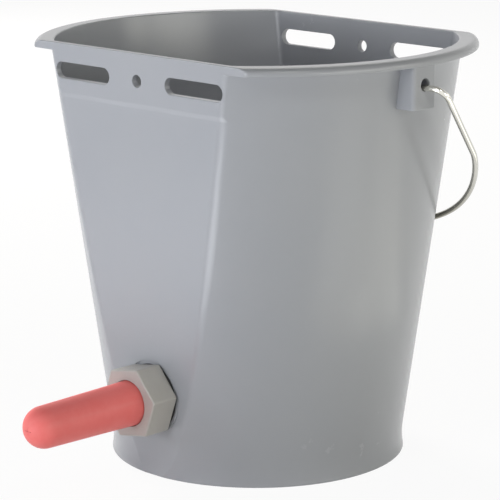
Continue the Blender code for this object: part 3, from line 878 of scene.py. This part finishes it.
def union_nut(finish):
    """Hexagonal nut with eased edges, bored for the spigot and with a lip that holds the teat's flange."""
    bm = bmesh.new()
    bmesh.ops.create_circle(bm, cap_ends=True, segments=6, radius=NUT_ACROSS_FLATS / math.sqrt(3))
    grown = bmesh.ops.extrude_face_region(bm, geom=bm.faces[:])["geom"]
    lifted = [item for item in grown if isinstance(item, bmesh.types.BMVert)]
    bmesh.ops.translate(bm, verts=lifted, vec=(0, 0, NUT_FACE - NUT_BACK))
    bmesh.ops.translate(bm, verts=bm.verts, vec=(0, 0, NUT_BACK))
    start = min(bm.verts, key=lambda v: (v.co.z, -v.co.x))
    turn = NUT_TURN - math.atan2(start.co.y, start.co.x)
    bmesh.ops.rotate(bm, verts=bm.verts, cent=(0, 0, 0), matrix=Matrix.Rotation(turn, 3, "Z"))
    ease(bm, bm.edges[:], NUT_EDGE, NUT_EDGE_STEPS)
    nut = piece("union_nut_moulded", on_valve_axis(bm), finish)
    mouth = TEAT_NECK + NUT_MOUTH_GAP
    shoulder = NUT_FACE - NUT_LIP
    hollow = [
        (0, NUT_BACK - NUT_CUT_OVER),
        (BORE_RADIUS + NUT_BORE_EASE, NUT_BACK - NUT_CUT_OVER),
        (BORE_RADIUS + NUT_BORE_EASE, NUT_BACK),
        (BORE_RADIUS, NUT_BACK + NUT_BORE_EASE),
        (BORE_RADIUS, shoulder),
        (mouth, shoulder),
        (mouth, NUT_FACE - NUT_MOUTH_EASE),
        (mouth + NUT_MOUTH_EASE * 0.4, NUT_FACE - NUT_MOUTH_EASE * 0.3),
        (mouth + NUT_MOUTH_EASE, NUT_FACE),
        (mouth + NUT_MOUTH_EASE * 1.2, NUT_FACE + NUT_CUT_OVER),
        (0, NUT_FACE + NUT_CUT_OVER),
    ]
    carve(nut, [("DIFFERENCE", on_valve_axis(turned(hollow)))], NUT_SHARP_ANGLE)
    even_shading(nut)
    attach(nut, "bucket")
    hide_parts("union_nut")


def outer_seal(finish):
    """Thin washer between the nut and the wall."""
    profile = [
        (BORE_RADIUS, SEAL_BACK),
        (SEAL_RADIUS - SEAL_EDGE, SEAL_BACK),
        (SEAL_RADIUS, SEAL_BACK + SEAL_EDGE),
        (SEAL_RADIUS, SEAL_FACE - SEAL_EDGE),
        (SEAL_RADIUS - SEAL_EDGE, SEAL_FACE),
        (BORE_RADIUS, SEAL_FACE),
    ]
    made = piece("outer_seal_rubber", on_valve_axis(turned(profile)), finish)
    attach(made, "bucket")
    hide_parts("outer_seal")


def teat(finish):
    """Hollow teat with a clamped flange, a slight taper and a cross slit in its round tip."""
    start = TEAT_TIP - TEAT_TIP_RADIUS
    inner_tip = TEAT_TIP_RADIUS - TEAT_WALL
    profile = [
        (TEAT_NECK - TEAT_WALL, TEAT_FLANGE_BACK),
        (TEAT_FLANGE_RADIUS - TEAT_FLANGE_EASE, TEAT_FLANGE_BACK),
        (TEAT_FLANGE_RADIUS, TEAT_FLANGE_BACK + TEAT_FLANGE_EASE),
        (TEAT_FLANGE_RADIUS, TEAT_FLANGE_FACE - TEAT_FLANGE_EASE),
        (TEAT_FLANGE_RADIUS - TEAT_FLANGE_EASE, TEAT_FLANGE_FACE),
        (TEAT_NECK + TEAT_ROOT_STEP, TEAT_FLANGE_FACE),
    ]
    for step in range(1, TEAT_STEPS):
        share = step / TEAT_STEPS
        radius = TEAT_NECK + (TEAT_TIP_RADIUS - TEAT_NECK) * share
        profile.append((radius, TEAT_FLANGE_FACE + (start - TEAT_FLANGE_FACE) * share))
    for angle in quarter_turn(14):
        profile.append((TEAT_TIP_RADIUS * math.cos(angle), start + TEAT_TIP_RADIUS * math.sin(angle)))
    for angle in reversed(quarter_turn(8)):
        profile.append((inner_tip * math.cos(angle), start + inner_tip * math.sin(angle)))
    made = piece("teat_rubber", on_valve_axis(turned(profile)), finish)
    arms = []
    for across, along in ((TEAT_SLIT_LENGTH, TEAT_SLIT_WIDTH), (TEAT_SLIT_WIDTH, TEAT_SLIT_LENGTH)):
        low = Vector((-across / 2, -along / 2, TEAT_TIP - TEAT_SLIT_DEPTH))
        high = Vector((across / 2, along / 2, TEAT_TIP + CUT_OVER))
        arms.append(("DIFFERENCE", on_valve_axis(block(low, high))))
    carve(made, arms)
    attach(made, "bucket")
    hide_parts("teat")


# Bail


def bail_line():
    """Centre line of half the bail, from the hook behind the ear's plate to the middle of the grip."""
    hook_x = (EAR_FACE - EAR_WALL + side_radius(HINGE_Z)) / 2
    points = [Vector((hook_x, -HOOK_END))]
    for angle in quarter_turn(8):
        points.append(Vector((hook_x + HOOK_RADIUS * (1 - math.cos(angle)), HOOK_RADIUS * (math.sin(angle) - 1))))
    leg = BAIL_SHOULDER - Vector((BAIL_HALF_WIDTH, BAIL_BEND))
    full = math.pi / 2 + Vector((0, 1)).angle(leg)
    for step in range(BEND_STEPS + 1):
        angle = full * step / BEND_STEPS
        out = BAIL_HALF_WIDTH - BAIL_BEND * (1 - math.sin(angle))
        points.append(Vector((out, BAIL_BEND * (1 - math.cos(angle)))))
    start = points[-1]
    points += [start.lerp(BAIL_SHOULDER, step / LEG_STEPS) for step in range(1, LEG_STEPS)]
    pull = BAIL_SHOULDER + leg.normalized() * BAIL_SHOULDER_PULL
    for step in range(CROWN_STEPS + 1):
        t = step / CROWN_STEPS
        near = BAIL_SHOULDER * (1 - t) ** 3 + pull * 3 * t * (1 - t) ** 2
        points.append(near + BAIL_CROWN_PULL * 3 * t * t * (1 - t) + BAIL_CROWN * t**3)
    return points


def bail(finish):
    """Round wire along the bail's line, hanging at its lean from the hinge."""
    half = bail_line()
    line = half + [Vector((-p.x, p.y)) for p in reversed(half[:-1])]
    curve = bpy.data.curves.new("bail_path", "CURVE")
    curve.dimensions = "3D"
    curve.bevel_depth = WIRE_RADIUS
    curve.bevel_resolution = WIRE_RINGS
    curve.use_fill_caps = True
    spline = curve.splines.new("POLY")
    spline.points.add(len(line) - 1)
    for point, p in zip(spline.points, line):
        point.co = (p.x, p.y * math.sin(BAIL_LEAN), HINGE_Z - p.y * math.cos(BAIL_LEAN), 1.0)
    drawn = bpy.data.objects.new("bail_path", curve)
    bpy.context.scene.collection.objects.link(drawn)
    bpy.context.view_layer.update()
    mesh = bpy.data.meshes.new_from_object(drawn.evaluated_get(bpy.context.evaluated_depsgraph_get()))
    bpy.data.objects.remove(drawn)
    bm = bmesh.new()
    bm.from_mesh(mesh)
    made = piece("bail_wire", bm, finish)
    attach(made, "bail")
    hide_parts("bail")


def keep_node(name, finish):
    """Shows a solid as it is, in its finish."""
    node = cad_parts[name]
    node.data.materials.clear()
    node.data.materials.append(finish)


# Stage


def camera():
    turn, rise, roll = math.radians(VIEW_TURN), math.radians(VIEW_RISE), math.radians(VIEW_ROLL)
    back = Vector((math.sin(turn) * math.cos(rise), -math.cos(turn) * math.cos(rise), math.sin(rise)))
    right = Vector((math.cos(turn), math.sin(turn), 0))
    up = back.cross(right)
    across = right * math.cos(roll) + up * math.sin(roll)
    above = up * math.cos(roll) - right * math.sin(roll)
    data = bpy.data.cameras.new("camera")
    data.sensor_width = SENSOR
    data.lens = FOCAL_LENGTH * SENSOR / PICTURE
    data.shift_x = SHIFT_ACROSS / PICTURE
    data.shift_y = SHIFT_UP / PICTURE
    data.clip_end = SIGHT_END
    made = bpy.data.objects.new("camera", data)
    pose = Matrix((across, above, back)).transposed().to_4x4()
    pose.translation = Vector((0, 0, VIEW_HEIGHT)) + back * VIEW_DISTANCE
    made.matrix_world = pose
    bpy.context.scene.collection.objects.link(made)
    bpy.context.scene.camera = made


def area_light(name, size, energy, colour):
    """Soft rectangular light, size wide and high in metres, that the camera doesn't see."""
    data = bpy.data.lights.new(name, "AREA")
    data.shape = "RECTANGLE"
    data.size, data.size_y = size
    data.energy = energy
    data.color = colour
    made = bpy.data.objects.new(name, data)
    made.visible_camera = False
    bpy.context.scene.collection.objects.link(made)
    return made


def softbox(name, azimuth, elevation, size, energy, colour, in_gloss):
    turn, rise = math.radians(azimuth), math.radians(elevation)
    out = Vector((math.cos(turn) * math.cos(rise), math.sin(turn) * math.cos(rise), math.sin(rise)))
    made = area_light(name, size, energy, colour)
    made.location = LAMP_AIM + out * LAMP_DISTANCE
    made.rotation_euler = (made.location - LAMP_AIM).to_track_quat("Z", "Y").to_euler()
    made.visible_glossy = in_gloss


def table_card(name, azimuth, place, size, energy, colour):
    made = area_light(name, size, energy, colour)
    made.location = (*place, CARD_HEIGHT)
    made.rotation_euler = (math.pi, 0, math.radians(azimuth))


def studio():
    """World that lights from above and is seen as white low down, with the lamps and the cards."""
    scene = bpy.context.scene
    scene.view_settings.view_transform = "Standard"
    scene.world = bpy.data.worlds.new("studio")
    scene.world.use_nodes = True
    sky = Nodes(scene.world.node_tree)
    height = sky.height_of(sky.node("ShaderNodeTexCoord", {}, {}).outputs["Generated"])
    soft = sky.tree.nodes["Background"]
    sky.feed(soft.inputs["Strength"], sky.between(height, 0.2, 1.0, 0.0, 0.78))
    fading = sky.between(height, 0.3, 0.9, 1.0, 0.3)
    white = sky.node("ShaderNodeBackground", {}, {"Color": WHITE, "Strength": fading})
    sky.show(sky.seen_ray(), soft, white, "World Output")
    for row in SOFTBOXES:
        softbox(*row)
    for row in TABLE_CARDS:
        table_card(*row)


def floor():
    """Pale floor that the camera and every gloss see as white, with the object's shadow on it."""
    bm = bmesh.new()
    bmesh.ops.create_grid(bm, x_segments=1, y_segments=1, size=FLOOR_HALF)
    finish = Finish("studio_floor")
    seen = finish.seen_ray()
    finish.set(Base_Color=finish.mixed(seen, FLOOR_GREY, FLOOR_PALE), Roughness=0.9)
    glow = finish.node("ShaderNodeEmission", {}, {"Color": WHITE, "Strength": 1.0})
    finish.show(seen * FLOOR_GLOW, finish.shader, glow, "Material Output")
    made = piece("studio_floor", bm, finish.material)


camera()
studio()
floor()
fitting = fitting_grey()
black = seal_rubber()
moulding(moulded_grey())
union_nut(fitting)
outer_seal(black)
teat(teat_rubber())
bail(drawn_wire())
keep_node("valve_body", fitting)
keep_node("ball_retainer", fitting)
keep_node("valve_ball", ball_plastic())
keep_node("inner_seal", black)
